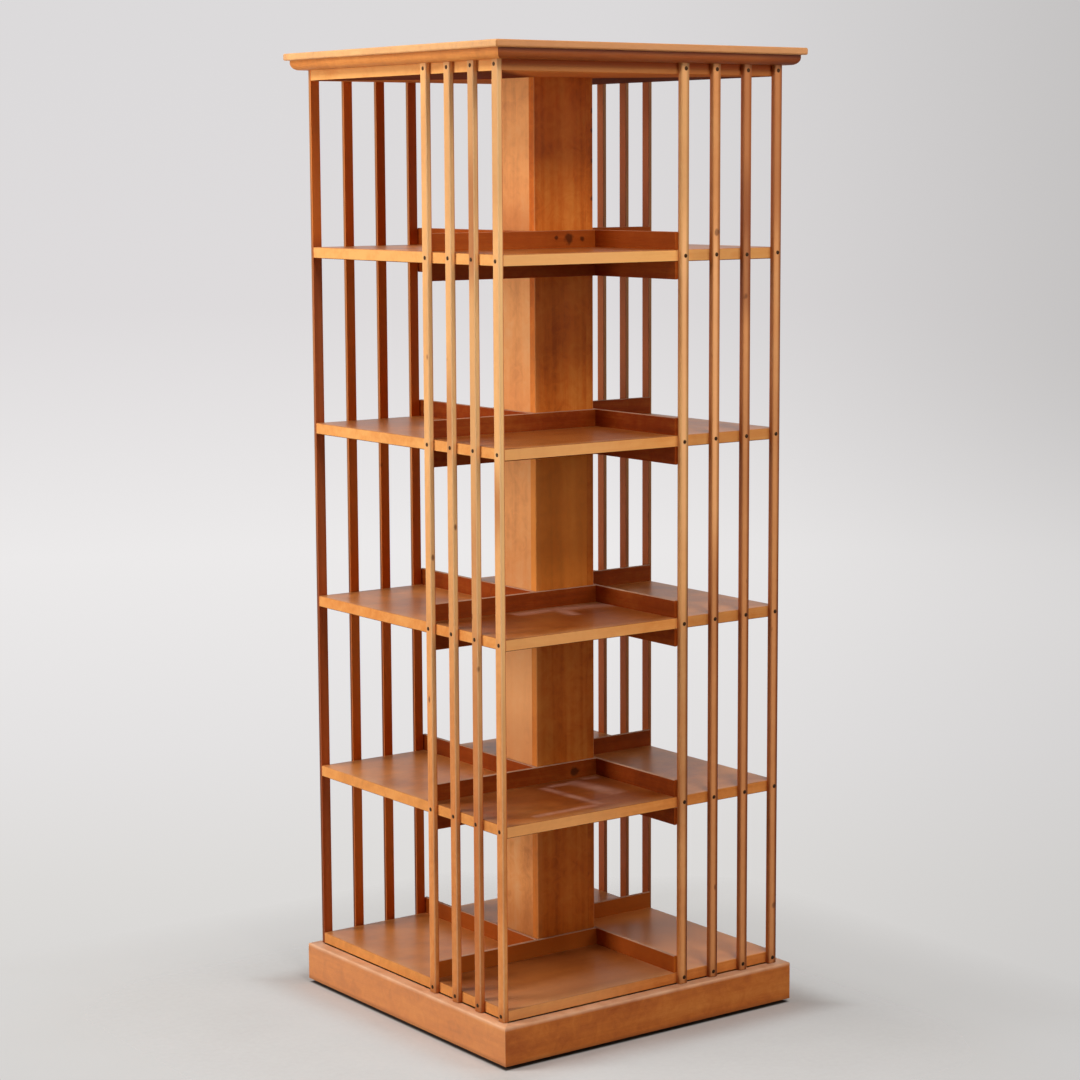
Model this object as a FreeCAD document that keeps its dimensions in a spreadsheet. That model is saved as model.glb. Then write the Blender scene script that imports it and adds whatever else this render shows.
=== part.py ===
import FreeCAD
import Part
import Sketcher
import os

# Revolving bookcase: five open tiers of book bays in a slatted case that turns on a fixed post.
#
# Frame: +Z up, origin on the floor at the middle of the plinth, front face towards -Y and left
# face towards -X. Each tier holds four bays laid like the sails of a pinwheel, so the case has
# four like sides: a piece of a side is drawn where the front one stands, and the other three
# are the same piece turned about the post by quarter turns.

UP = FreeCAD.Vector(0, 0, 1)
TIERS = 5
SIDES = ("front", "right", "back", "left")
SLATS_PER_SIDE = 4
BOLTS = 4
HEX_SIDES = 6
TOUCH = 1e-4

DIMENSIONS = (
    # case boards
    ("case_side", 580),
    ("board_thick", 19.5),
    ("board_ease", 1),
    ("deck_low", 74.5),
    ("tier_pitch", 312),
    ("top_tier_clear", 289.5),
    # hollow column, book stops and shelf rails
    ("column_side", 125.6),
    ("column_board", 15),
    ("rail_high", 30),
    ("rail_thick", 6),
    # slats planted on the edges of the boards
    ("slat_wide", 17.5),
    ("slat_thick", 9),
    ("slat_round", 3),
    # top slab, the battens that pack it up and the moulded cornice under it
    ("slab_side", 650),
    ("slab_thick", 12),
    ("slab_round", 3),
    ("packing_wide", 60),
    ("packing_thick", 16),
    ("cornice_high", 17),
    ("cornice_reach", 26),
    ("ovolo_radius", 12.5),
    # plinth, its corner blocks, floor glides and crossed bearers
    ("plinth_side", 622.4),
    ("plinth_board", 20),
    ("plinth_low", 7),
    ("plinth_high", 66.5),
    ("plinth_round", 3),
    ("block_leg", 70),
    ("block_high", 53),
    ("glide_radius", 16),
    ("glide_bevel", 2),
    ("glide_offset", 268),
    ("bearer_wide", 60),
    ("bearer_high", 32),
    # cast flange and the coach screws that hold it down
    ("flange_radius", 60),
    ("flange_thick", 8),
    ("hub_radius", 27),
    ("hub_high", 27),
    ("hub_flare", 6),
    ("bolt_circle", 45),
    ("bolt_radius", 4),
    ("bolt_clearance", 0.5),
    ("bolt_long", 30),
    ("bolt_head_radius", 7.5),
    ("bolt_head_high", 5.5),
    # post, pivot pin and the cup that turns on it
    ("post_radius", 17),
    ("post_bore", 14),
    ("spigot_long", 40),
    ("shoulder_thick", 4),
    ("pivot_gap", 3.5),
    ("pivot_radius", 8),
    ("pivot_bevel", 2),
    ("running_gap", 0.05),
    ("tip_gap", 0.3),
    ("cup_radius", 30),
    ("cup_thick", 8),
    ("cup_depth", 6),
    ("cup_boss_radius", 15),
    ("cup_boss_high", 14),
    ("head_block_thick", 30),
    # bush in the bottom board that steadies the case on the post
    ("bush_radius", 22),
    ("bush_flange_radius", 30),
    ("bush_flange_thick", 3),
    ("bush_stand", 10),
)

# Levels above the floor and half widths that several pieces share, as sheet expressions.
CASE_HALF = "Dims.case_side / 2"
COLUMN_HALF = "Dims.column_side / 2"
PLINTH_HALF = "Dims.plinth_side / 2"
DECK_TOP = "Dims.deck_low + Dims.board_thick"
TOP_BOARD_LOW = f"{DECK_TOP} + {TIERS - 1} * Dims.tier_pitch + Dims.top_tier_clear"
SLAB_LOW = f"{TOP_BOARD_LOW} + Dims.board_thick + Dims.packing_thick"
CORNICE_LOW = f"{SLAB_LOW} - Dims.cornice_high"
BEARER_TOP = "Dims.plinth_low + Dims.bearer_high"
CUP_LOW = f"{TOP_BOARD_LOW} - Dims.head_block_thick - Dims.cup_thick"
POST_TOP = f"{CUP_LOW} - Dims.pivot_gap - Dims.shoulder_thick"

doc = FreeCAD.newDocument("revolving_bookcase")


def dimension_sheet():
    """The driving dimensions, one named cell each, in millimetres."""
    sheet = doc.addObject("Spreadsheet::Sheet", "Dims")
    for row, (name, size) in enumerate(DIMENSIONS, 1):
        sheet.set(f"A{row}", name)
        sheet.set(f"B{row}", str(size))
        sheet.setAlias(f"B{row}", name)
    doc.recompute()


def shelf_low(level):
    """Underside of a board of the case, level 0 being the bottom board."""
    return f"Dims.deck_low + {level} * Dims.tier_pitch"


# Sketches and features

def new_sketch(body, role="XY_Plane"):
    sketch = body.newObject("Sketcher::SketchObject", body.Label + "_sketch")
    plane = [item for item in body.Origin.OriginFeatures if item.Role == role]
    sketch.AttachmentSupport = [(plane[0], "")]
    sketch.MapMode = "FlatFace"
    return sketch


def locate(sketch, item, end, axis, size):
    """Hold a point of a sketch at a distance along X or Y; a leading minus is the far side."""
    if size == "0":
        other_axis = {"X": -2, "Y": -1}[axis]
        sketch.addConstraint(Sketcher.Constraint("PointOnObject", item, end, other_axis))
        return
    points = [(-1, 1), (item, end)]
    if size.startswith("-"):
        points.reverse()
    (first, first_end), (last, last_end) = points
    number = sketch.addConstraint(
        Sketcher.Constraint(f"Distance{axis}", first, first_end, last, last_end, 1.0))
    sketch.setExpression(f"Constraints[{number}]", size.lstrip("-"))


def outline(sketch, corners):
    """A closed outline of straight sides through corners given as pairs of expressions."""
    count = len(corners)
    # Rough places round a circle, which the constraints then pull to size.
    rough = [FreeCAD.Rotation(UP, 360 * number / count).multVec(FreeCAD.Vector(50, 0, 0))
             for number in range(count)]
    for number in range(count):
        sketch.addGeometry(Part.LineSegment(rough[number], rough[(number + 1) % count]))
    for number in range(count):
        sketch.addConstraint(
            Sketcher.Constraint("Coincident", number, 2, (number + 1) % count, 1))
    for number, (across, along) in enumerate(corners):
        locate(sketch, number, 1, "X", across)
        locate(sketch, number, 1, "Y", along)


def rectangle(sketch, left, right, low, high):
    outline(sketch, ((left, low), (right, low), (right, high), (left, high)))


def circle(sketch, radius, across="0", along="0"):
    """A circle on the sketch's origin, or off it where distances are given."""
    item = sketch.addGeometry(Part.Circle(FreeCAD.Vector(20, 20, 0), UP, 5))
    number = sketch.addConstraint(Sketcher.Constraint("Radius", item, 5))
    sketch.setExpression(f"Constraints[{number}]", radius)
    locate(sketch, item, 3, "X", across)
    locate(sketch, item, 3, "Y", along)


def new_body(label):
    body = doc.addObject("PartDesign::Body", label)
    body.Label = label
    return body


def pad(body, sketch, length, centred=False):
    feature = body.newObject("PartDesign::Pad", body.Label + "_pad")
    feature.Profile = sketch
    feature.setExpression("Length", length)
    if centred:
        feature.SideType = "Symmetric"
    doc.recompute()
    return feature


def cut_through(body, sketch):
    """Cut a sketch of the XY plane up through the whole of the body above it."""
    before = body.Shape.Volume
    feature = body.newObject("PartDesign::Pocket", body.Label + "_cut")
    feature.Profile = sketch
    feature.Type = "ThroughAll"
    feature.Reversed = True
    doc.recompute()
    if feature.Shape.Volume > before - TOUCH:
        raise RuntimeError(f"{body.Label}: the cut missed the solid")
    return feature


def round_the_post(body, feature, sketch, count):
    """Repeat a cut at even turns about the body's own vertical axis."""
    pattern = body.newObject("PartDesign::PolarPattern", body.Label + "_pattern")
    pattern.Originals = [feature]
    pattern.Axis = (sketch, ["N_Axis"])
    pattern.Angle = 360
    pattern.Occurrences = count
    body.Tip = pattern
    doc.recompute()


def edges_on(feature, *sides):
    """Names of the edges that lie on all the named sides of a feature's bounding box."""
    box = feature.Shape.BoundBox
    names = []
    for number, edge in enumerate(feature.Shape.Edges, 1):
        reach = edge.BoundBox
        offsets = [abs(getattr(reach, side[0] + end) - getattr(box, side))
                   for side in sides for end in ("Min", "Max")]
        if max(offsets) < TOUCH:
            names.append(f"Edge{number}")
    return names


def edges_around(feature):
    """Names of all the outer edges of a square board: top, bottom and its four corners."""
    names = []
    for side in ("XMin", "XMax", "YMin", "YMax"):
        names += edges_on(feature, side, "ZMin") + edges_on(feature, side, "ZMax")
    for side in ("XMin", "XMax"):
        names += edges_on(feature, side, "YMin") + edges_on(feature, side, "YMax")
    return names


def round_over(body, feature, names, radius):
    fillet = body.newObject("PartDesign::Fillet", body.Label + "_round")
    fillet.Base = (feature, names)
    fillet.setExpression("Radius", radius)
    body.Tip = fillet
    doc.recompute()


def bevel(body, feature, names, width):
    chamfer = body.newObject("PartDesign::Chamfer", body.Label + "_bevel")
    chamfer.Base = (feature, names)
    chamfer.setExpression("Size", width)
    body.Tip = chamfer
    doc.recompute()


def put(piece, height, quarter_turns=0):
    """Raise a piece to its level and turn it about the post to its side of the case."""
    piece.Placement.Rotation = FreeCAD.Rotation(UP, 90 * quarter_turns)
    piece.setExpression("Placement.Base.z", height)
    return piece


def group(label, pieces):
    """Like pieces that share one node, each still a separate solid."""
    node = doc.addObject("Part::Compound", label)
    node.Label = label
    node.Links = pieces
    return node


# Forms that several pieces share

def square_board(label, side, thick, soften, width, height, hole=None):
    """A square board with softened edges and, where it has one, a square or round hole."""
    body = new_body(label)
    sketch = new_sketch(body)
    rectangle(sketch, f"-({side} / 2)", f"{side} / 2", f"-({side} / 2)", f"{side} / 2")
    feature = pad(body, sketch, thick)
    soften(body, feature, edges_around(feature), width)
    if hole:
        opening = new_sketch(body)
        hole(opening)
        cut_through(body, opening)
    return put(body, height)


def mitred_board(label, outer, inner, high, rounded, radius, height, turns):
    """One side of a square frame, mitred at both ends, with one long outer edge rounded."""
    body = new_body(label)
    sketch = new_sketch(body)
    outline(sketch, ((f"-({outer})", f"-({outer})"), (outer, f"-({outer})"),
                     (inner, f"-({inner})"), (f"-({inner})", f"-({inner})")))
    feature = pad(body, sketch, high)
    round_over(body, feature, edges_on(feature, "YMin", rounded), radius)
    return put(body, height, turns)


def turned(label, profile, height):
    """A turned piece: a straight-sided half profile spun about the post's axis."""
    body = new_body(label)
    sketch = new_sketch(body, "XZ_Plane")
    outline(sketch, profile)
    spin = body.newObject("PartDesign::Revolution", label + "_spin")
    spin.Profile = sketch
    spin.ReferenceAxis = (sketch, ["V_Axis"])
    spin.Angle = 360
    doc.recompute()
    return put(body, height)


# The stand, which stays still on the floor

def plinth():
    """Four mitred boards, top edge eased, lifted clear of the floor by the glides."""
    inner = f"{PLINTH_HALF} - Dims.plinth_board"
    return [mitred_board(f"plinth_{side}", PLINTH_HALF, inner, "Dims.plinth_high",
                         "ZMax", "Dims.plinth_round", "Dims.plinth_low", turns)
            for turns, side in enumerate(SIDES)]


def corner_blocks():
    """Triangular blocks glued into the plinth's corners."""
    corner = f"{PLINTH_HALF} - Dims.plinth_board"
    reach = f"{PLINTH_HALF} - Dims.plinth_board - Dims.block_leg"
    blocks = []
    for turns, side in enumerate(SIDES):
        body = new_body(f"corner_block_{side}")
        sketch = new_sketch(body)
        outline(sketch, ((f"-({corner})", f"-({corner})"), (f"-({reach})", f"-({corner})"),
                         (f"-({corner})", f"-({reach})")))
        pad(body, sketch, "Dims.block_high")
        blocks.append(put(body, "Dims.plinth_low", turns))
    return [group("corner_blocks", blocks)]


def floor_glides():
    """Round glides under the corner blocks, set back out of sight: all the part rests on."""
    glides = []
    for turns, side in enumerate(SIDES):
        body = new_body(f"floor_glide_{side}")
        sketch = new_sketch(body)
        circle(sketch, "Dims.glide_radius", "-Dims.glide_offset", "-Dims.glide_offset")
        feature = pad(body, sketch, "Dims.plinth_low")
        bevel(body, feature, edges_on(feature, "ZMin"), "Dims.glide_bevel")
        glides.append(put(body, "0", turns))
    return [group("floor_glides", glides)]


def bearer(label, notch_up, turns):
    """A bar across the plinth, halved at the middle over or under the other one."""
    end = f"{PLINTH_HALF} - Dims.plinth_board"
    notch = "Dims.bearer_wide / 2"
    middle = "Dims.bearer_high / 2"
    plain, halved = ("0", "Dims.bearer_high") if notch_up else ("Dims.bearer_high", "0")
    body = new_body(label)
    side_view = new_sketch(body, "XZ_Plane")
    outline(side_view, ((f"-({end})", plain), (end, plain), (end, halved), (notch, halved),
                        (notch, middle), (f"-({notch})", middle), (f"-({notch})", halved),
                        (f"-({end})", halved)))
    pad(body, side_view, "Dims.bearer_wide", centred=True)
    pilots = new_sketch(body)
    circle(pilots, "Dims.bolt_radius", "Dims.bolt_circle")
    circle(pilots, "Dims.bolt_radius", "-Dims.bolt_circle")
    cut_through(body, pilots)
    return put(body, "Dims.plinth_low", turns)


def bearers():
    return [bearer("bearer_long", True, 0), bearer("bearer_cross", False, 1)]


def post_flange():
    """Cast flange with a flared socket for the post and four bolt holes."""
    bore = "Dims.post_radius"
    foot = "Dims.hub_radius + Dims.hub_flare"
    flange = turned("post_flange",
                    ((bore, "0"), ("Dims.flange_radius", "0"),
                     ("Dims.flange_radius", "Dims.flange_thick"), (foot, "Dims.flange_thick"),
                     ("Dims.hub_radius", "Dims.flange_thick + Dims.hub_flare"),
                     ("Dims.hub_radius", "Dims.hub_high"), (bore, "Dims.hub_high")),
                    BEARER_TOP)
    holes = new_sketch(flange)
    circle(holes, "Dims.bolt_radius + Dims.bolt_clearance", "Dims.bolt_circle")
    cut = cut_through(flange, holes)
    round_the_post(flange, cut, holes, BOLTS)
    return [flange]


def flange_screws():
    """Hexagon-headed coach screws through the flange into the bearers."""
    screws = []
    for turns in range(BOLTS):
        head = doc.addObject("Part::Prism", f"screw_head_{turns + 1}")
        head.Polygon = HEX_SIDES
        head.setExpression("Circumradius", "Dims.bolt_head_radius")
        head.setExpression("Height", "Dims.bolt_head_high")
        shank = doc.addObject("Part::Cylinder", f"screw_shank_{turns + 1}")
        shank.setExpression("Radius", "Dims.bolt_radius")
        shank.setExpression("Height", "Dims.bolt_long")
        shank.setExpression("Placement.Base.z", "-1 * Dims.bolt_long")
        screw = doc.addObject("Part::Fuse", f"flange_screw_{turns + 1}")
        screw.Base = head
        screw.Tool = shank
        axis = "x" if turns % 2 == 0 else "y"
        side = 1 if turns < BOLTS / 2 else -1
        screw.setExpression(f"Placement.Base.{axis}", f"{side} * Dims.bolt_circle")
        screw.setExpression("Placement.Base.z", f"{BEARER_TOP} + Dims.flange_thick")
        screws.append(screw)
    return [group("flange_screws", screws)]


def centre_post():
    """Steel tube standing in the flange, right up inside the column."""
    length = f"{POST_TOP} - ({BEARER_TOP})"
    return [turned("centre_post",
                   (("Dims.post_bore", "0"), ("Dims.post_radius", "0"),
                    ("Dims.post_radius", length), ("Dims.post_bore", length)),
                   BEARER_TOP)]


def pivot_pin():
    """Pin that plugs the post's top: spigot, shoulder and the nose that the case turns on."""
    shoulder_top = "Dims.spigot_long + Dims.shoulder_thick"
    tip = f"{shoulder_top} + Dims.pivot_gap + Dims.cup_depth - Dims.tip_gap"
    pin = turned("pivot_pin",
                 (("0", "0"), ("Dims.post_bore", "0"), ("Dims.post_bore", "Dims.spigot_long"),
                  ("Dims.post_radius", "Dims.spigot_long"), ("Dims.post_radius", shoulder_top),
                  ("Dims.pivot_radius", shoulder_top), ("Dims.pivot_radius", tip), ("0", tip)),
                 f"{POST_TOP} - Dims.spigot_long")
    bevel(pin, pin.Tip, edges_on(pin.Tip, "ZMax"), "Dims.pivot_bevel")
    return [pin]


# The case, which turns on the post

def boards():
    """Bottom board, four shelves and top board; all but the top one are pierced."""
    def bush_hole(sketch):
        circle(sketch, "Dims.bush_radius")

    def column_hole(sketch):
        rectangle(sketch, f"-({COLUMN_HALF})", COLUMN_HALF, f"-({COLUMN_HALF})", COLUMN_HALF)

    like = ("Dims.case_side", "Dims.board_thick", bevel, "Dims.board_ease")
    made = [square_board("bottom_board", *like, shelf_low(0), bush_hole)]
    for level in range(1, TIERS):
        made.append(square_board(f"shelf_{level}", *like, shelf_low(level), column_hole))
    made.append(square_board("top_board", *like, TOP_BOARD_LOW))
    return made


def column():
    """Hollow square column of four boards, each butting on the face of the next."""
    made = []
    for turns, side in enumerate(SIDES):
        body = new_body(f"column_{side}")
        sketch = new_sketch(body)
        rectangle(sketch, f"-({COLUMN_HALF})", f"{COLUMN_HALF} - Dims.column_board",
                  f"-({COLUMN_HALF})", f"-({COLUMN_HALF} - Dims.column_board)")
        feature = pad(body, sketch, f"{TOP_BOARD_LOW} - ({DECK_TOP})")
        bevel(body, feature, edges_on(feature, "XMin", "YMin"), "Dims.board_ease")
        made.append(put(body, DECK_TOP, turns))
    return made


def rails(label, low, eased):
    """Four thin rails laid like a pinwheel round the column, each butting on the next."""
    made = []
    for turns, side in enumerate(SIDES):
        body = new_body(f"{label}_{side}")
        sketch = new_sketch(body)
        rectangle(sketch, f"-({CASE_HALF})", COLUMN_HALF,
                  f"-({COLUMN_HALF} + Dims.rail_thick)", f"-({COLUMN_HALF})")
        feature = pad(body, sketch, "Dims.rail_high")
        arrises = edges_on(feature, "YMin", eased) + edges_on(feature, "YMax", eased)
        bevel(body, feature, arrises, "Dims.board_ease")
        made.append(put(body, low, turns))
    return group(label, made)


def book_stops():
    """Rails on the boards that part the four bays of a tier and stop the books' spines."""
    made = [rails("book_stops_bottom", DECK_TOP, "ZMax")]
    for level in range(1, TIERS):
        low = f"{shelf_low(level)} + Dims.board_thick"
        made.append(rails(f"book_stops_{level}", low, "ZMax"))
    return made


def shelf_rails():
    """Rails under the four shelves, in line with the book stops, that keep them flat."""
    return [rails(f"shelf_rails_{level}", f"{shelf_low(level)} - Dims.rail_high", "ZMin")
            for level in range(1, TIERS)]


def slats():
    """Upright slats planted on the boards' edges, their outer arrises rounded.

    The first of a side is flush with the case's corner and the last is in line with a book
    stop, so the slats close the end of the bay behind them.
    """
    step = (f"({CASE_HALF} - {COLUMN_HALF} - Dims.rail_thick - Dims.slat_wide)"
            f" / {SLATS_PER_SIDE - 1}")
    made = []
    for turns, side in enumerate(SIDES):
        for place in range(SLATS_PER_SIDE):
            right = f"{CASE_HALF} - {place} * {step}"
            body = new_body(f"slat_{side}_{place + 1}")
            sketch = new_sketch(body)
            rectangle(sketch, f"{right} - Dims.slat_wide", right,
                      f"-({CASE_HALF} + Dims.slat_thick)", f"-({CASE_HALF})")
            feature = pad(body, sketch, f"{CORNICE_LOW} - Dims.deck_low")
            arrises = edges_on(feature, "YMin", "XMin") + edges_on(feature, "YMin", "XMax")
            round_over(body, feature, arrises, "Dims.slat_round")
            made.append(put(body, "Dims.deck_low", turns))
    return made


def top():
    """Slab over the top board, on a frame of battens that also backs the cornice."""
    battens = []
    for turns, side in enumerate(SIDES):
        body = new_body(f"packing_{side}")
        sketch = new_sketch(body)
        rectangle(sketch, f"-({CASE_HALF})", f"{CASE_HALF} - Dims.packing_wide",
                  f"-({CASE_HALF})", f"-({CASE_HALF} - Dims.packing_wide)")
        pad(body, sketch, "Dims.packing_thick")
        battens.append(put(body, f"{TOP_BOARD_LOW} + Dims.board_thick", turns))
    slab = square_board("top_slab", "Dims.slab_side", "Dims.slab_thick", round_over,
                        "Dims.slab_round", SLAB_LOW)
    return [group("top_packing", battens), slab]


def cornice():
    """Four lengths of ovolo moulding, mitred at the corners, over the tops of the slats."""
    outer = f"{CASE_HALF} + Dims.cornice_reach"
    return [mitred_board(f"cornice_{side}", outer, CASE_HALF, "Dims.cornice_high",
                         "ZMin", "Dims.ovolo_radius", CORNICE_LOW, turns)
            for turns, side in enumerate(SIDES)]


def head_block():
    """Block glued inside the column's head, bored for the boss of the pivot cup."""
    inner = f"({COLUMN_HALF} - Dims.column_board)"
    block = new_body("head_block")
    sketch = new_sketch(block)
    rectangle(sketch, f"-{inner}", inner, f"-{inner}", inner)
    pad(block, sketch, "Dims.head_block_thick")
    bore = new_sketch(block)
    circle(bore, "Dims.cup_boss_radius")
    cut_through(block, bore)
    return [put(block, f"{TOP_BOARD_LOW} - Dims.head_block_thick")]


def pivot_cup():
    """Steel cup driven into the head block, which hangs the case on the pin's nose."""
    bore = "Dims.pivot_radius + Dims.running_gap"
    boss_top = "Dims.cup_thick + Dims.cup_boss_high"
    return [turned("pivot_cup",
                   (("0", "Dims.cup_depth"), (bore, "Dims.cup_depth"), (bore, "0"),
                    ("Dims.cup_radius", "0"), ("Dims.cup_radius", "Dims.cup_thick"),
                    ("Dims.cup_boss_radius", "Dims.cup_thick"),
                    ("Dims.cup_boss_radius", boss_top), ("0", boss_top)),
                   CUP_LOW)]


def guide_bush():
    """Flanged bush up through the bottom board that steadies the case on the post."""
    bore = "Dims.post_radius + Dims.running_gap"
    top_of_bush = "Dims.bush_flange_thick + Dims.board_thick + Dims.bush_stand"
    return [turned("guide_bush",
                   ((bore, "0"), ("Dims.bush_flange_radius", "0"),
                    ("Dims.bush_flange_radius", "Dims.bush_flange_thick"),
                    ("Dims.bush_radius", "Dims.bush_flange_thick"),
                    ("Dims.bush_radius", top_of_bush), (bore, top_of_bush)),
                   "Dims.deck_low - Dims.bush_flange_thick")]


def check(nodes):
    """Stop before anything is written if a feature failed or a shape isn't a sound solid."""
    doc.recompute()
    faults = [item.Label for item in doc.Objects
              if "Invalid" in item.State or "Error" in item.State]
    faults += [node.Label for node in nodes
               if node.Shape.isNull() or not node.Shape.isValid() or not node.Shape.Solids]
    if faults:
        raise RuntimeError("not sound: " + ", ".join(faults))


def write(nodes):
    os.makedirs("parts", exist_ok=True)
    for node in nodes:
        node.Shape.exportStep(f"parts/{node.Label}.step")


dimension_sheet()
stand = (plinth() + corner_blocks() + floor_glides() + bearers() + post_flange()
         + flange_screws() + centre_post() + pivot_pin())
case = (boards() + column() + book_stops() + shelf_rails() + slats() + top() + cornice()
        + head_block() + pivot_cup() + guide_bush())
check(stand + case)
write(stand + case)
print(f"{len(stand)} nodes in the stand, {len(case)} in the case")
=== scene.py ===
import math
import random
import bmesh
import bpy
from mathutils import Matrix, Vector


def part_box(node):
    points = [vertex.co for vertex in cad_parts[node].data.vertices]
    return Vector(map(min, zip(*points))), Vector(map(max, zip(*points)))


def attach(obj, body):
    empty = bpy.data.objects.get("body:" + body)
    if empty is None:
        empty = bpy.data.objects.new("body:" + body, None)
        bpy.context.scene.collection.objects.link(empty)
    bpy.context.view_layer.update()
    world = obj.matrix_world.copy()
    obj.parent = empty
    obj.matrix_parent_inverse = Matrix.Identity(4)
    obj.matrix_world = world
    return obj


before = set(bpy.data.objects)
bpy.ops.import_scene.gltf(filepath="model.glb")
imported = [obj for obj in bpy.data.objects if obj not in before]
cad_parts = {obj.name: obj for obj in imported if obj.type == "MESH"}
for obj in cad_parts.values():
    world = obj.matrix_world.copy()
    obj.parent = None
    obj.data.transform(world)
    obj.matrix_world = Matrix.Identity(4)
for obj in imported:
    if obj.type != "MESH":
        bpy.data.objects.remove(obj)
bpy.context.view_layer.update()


# ---------------------------------------------------------------- plinth
# Four boards of honey-stained birch, mitred into a square box and glued. The top edge is
# rounded over, and the lacquer there has been rubbed thin by feet, brooms and book boxes.

class Wire:
    """A socket of a finish's node tree. Arithmetic on wires adds the Math nodes for it."""

    def __init__(self, tree, socket):
        self.tree = tree
        self.socket = socket

    def node(self, kind, settings, inputs, output=0):
        """Adds one node of any kind, settings first, and gives back one of its outputs.

        Sockets go by name, or by number on the nodes that give several the same name.
        """
        made = self.tree.nodes.new(kind)
        for name, setting in settings.items():
            if name == "stops":
                lay_stops(made.color_ramp, setting)
            else:
                setattr(made, name, setting)
        for name, value in inputs.items():
            if isinstance(value, Wire):
                self.tree.links.new(value.socket, made.inputs[name])
            else:
                made.inputs[name].default_value = value
        return Wire(self.tree, made.outputs[output])

    def also(self, output):
        """Another output of the node that this wire comes from."""
        return Wire(self.tree, self.socket.node.outputs[output])

    def show(self, kind):
        """Ends the tree: this wire's shader is what is seen."""
        self.tree.links.new(self.socket, self.tree.nodes.new(kind).inputs["Surface"])

    def math(self, operation, *others):
        terms = dict(enumerate((self, *others)))
        return self.node("ShaderNodeMath", {"operation": operation}, terms)

    def __add__(self, other):
        return self.math("ADD", other)

    def __sub__(self, other):
        return self.math("SUBTRACT", other)

    def __rsub__(self, other):
        return self.node("ShaderNodeMath", {"operation": "SUBTRACT"}, {0: other, 1: self})

    def __mul__(self, other):
        return self.math("MULTIPLY", other)

    __radd__ = __add__
    __rmul__ = __mul__

    def __abs__(self):
        return self.math("ABSOLUTE")

    def larger(self, other):
        return self.math("MAXIMUM", other)

    def smaller(self, other):
        return self.math("MINIMUM", other)

    def past(self, step):
        """How far the wire is past the last whole number of steps."""
        return self.math("MODULO", step)

    def rise(self, low, high):
        """Goes smoothly from 0 to 1 while the wire goes from low to high."""
        ends = {"Value": self, "From Min": low, "From Max": high}
        if low > high:
            ends = {"Value": self, "From Min": high, "From Max": low,
                    "To Min": 1.0, "To Max": 0.0}
        return self.node("ShaderNodeMapRange", {"interpolation_type": "SMOOTHSTEP"}, ends)

    def parts(self):
        """The three parts of a vector."""
        first = self.node("ShaderNodeSeparateXYZ", {}, {"Vector": self}, "X")
        return first, first.also("Y"), first.also("Z")

    def scaled(self, factors):
        """The same vector with its three parts stretched or shrunk."""
        return self.node("ShaderNodeVectorMath", {"operation": "MULTIPLY"},
                         {0: self, 1: factors})

    def moved(self, step):
        """The same vector with another added to it."""
        return self.node("ShaderNodeVectorMath", {"operation": "ADD"}, {0: self, 1: step})

    def noise(self, scale, detail=2.0, rough=0.5, warp=0.0):
        """Cloudy noise round 0, most of it between -1 and 1."""
        cloud = self.node("ShaderNodeTexNoise", {},
                          {"Vector": self, "Scale": scale, "Detail": detail,
                           "Roughness": rough, "Distortion": warp})
        return (cloud - 0.5) * 4.0

    def coloured(self, *stops):
        """The colour that a ramp gives the wire. A stop is a place on it and a colour."""
        return self.node("ShaderNodeValToRGB", {"stops": stops}, {0: self})

    def stained(self, stain, share):
        """This colour with another laid over it, as far as share says."""
        if isinstance(stain, str):
            stain = shade(stain)
        return self.node("ShaderNodeMix", {"data_type": "RGBA"},
                         {0: share, 6: self, 7: stain}, 2)


def lay_stops(ramp, stops):
    while len(ramp.elements) < len(stops):
        ramp.elements.new(0.5)
    for element, (position, code) in zip(ramp.elements, stops):
        element.position = position
        element.color = shade(code)


def shade(code):
    """A colour written as six hex digits, as the linear colour that a shader takes."""
    parts = [int(code[i:i + 2], 16) / 255 for i in (0, 2, 4)]
    linear = [p / 12.92 if p <= 0.04045 else ((p + 0.055) / 1.055) ** 2.4 for p in parts]
    return (*linear, 1.0)


def open_finish(name):
    """A new empty material, and the wire that carries a point's place on the bookcase."""
    material = bpy.data.materials.new(name)
    material.use_nodes = True
    tree = material.node_tree
    tree.nodes.clear()
    return material, Wire(tree, tree.nodes.new("ShaderNodeTexCoord").outputs["Object"])


def close_finish(colour, rough, height, bump=0.0004, **others):
    """Puts colour, roughness and relief on the surface, and the shader's other sockets."""
    relief = height.node("ShaderNodeBump", {}, {"Height": height, "Distance": bump})
    inputs = {"Base Color": colour, "Roughness": rough, "Normal": relief}
    inputs.update({name.replace("_", " "): value for name, value in others.items()})
    height.node("ShaderNodeBsdfPrincipled", {}, inputs).show("ShaderNodeOutputMaterial")


def lay_on(material, *nodes):
    for name in nodes:
        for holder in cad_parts[name].material_slots:
            holder.material = material


GRAIN = 0.055                       # how much finer the figure is across than along
ALONG_X = (GRAIN, 1.0, 1.0)
ALONG_Y = (1.0, GRAIN, 1.0)


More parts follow.
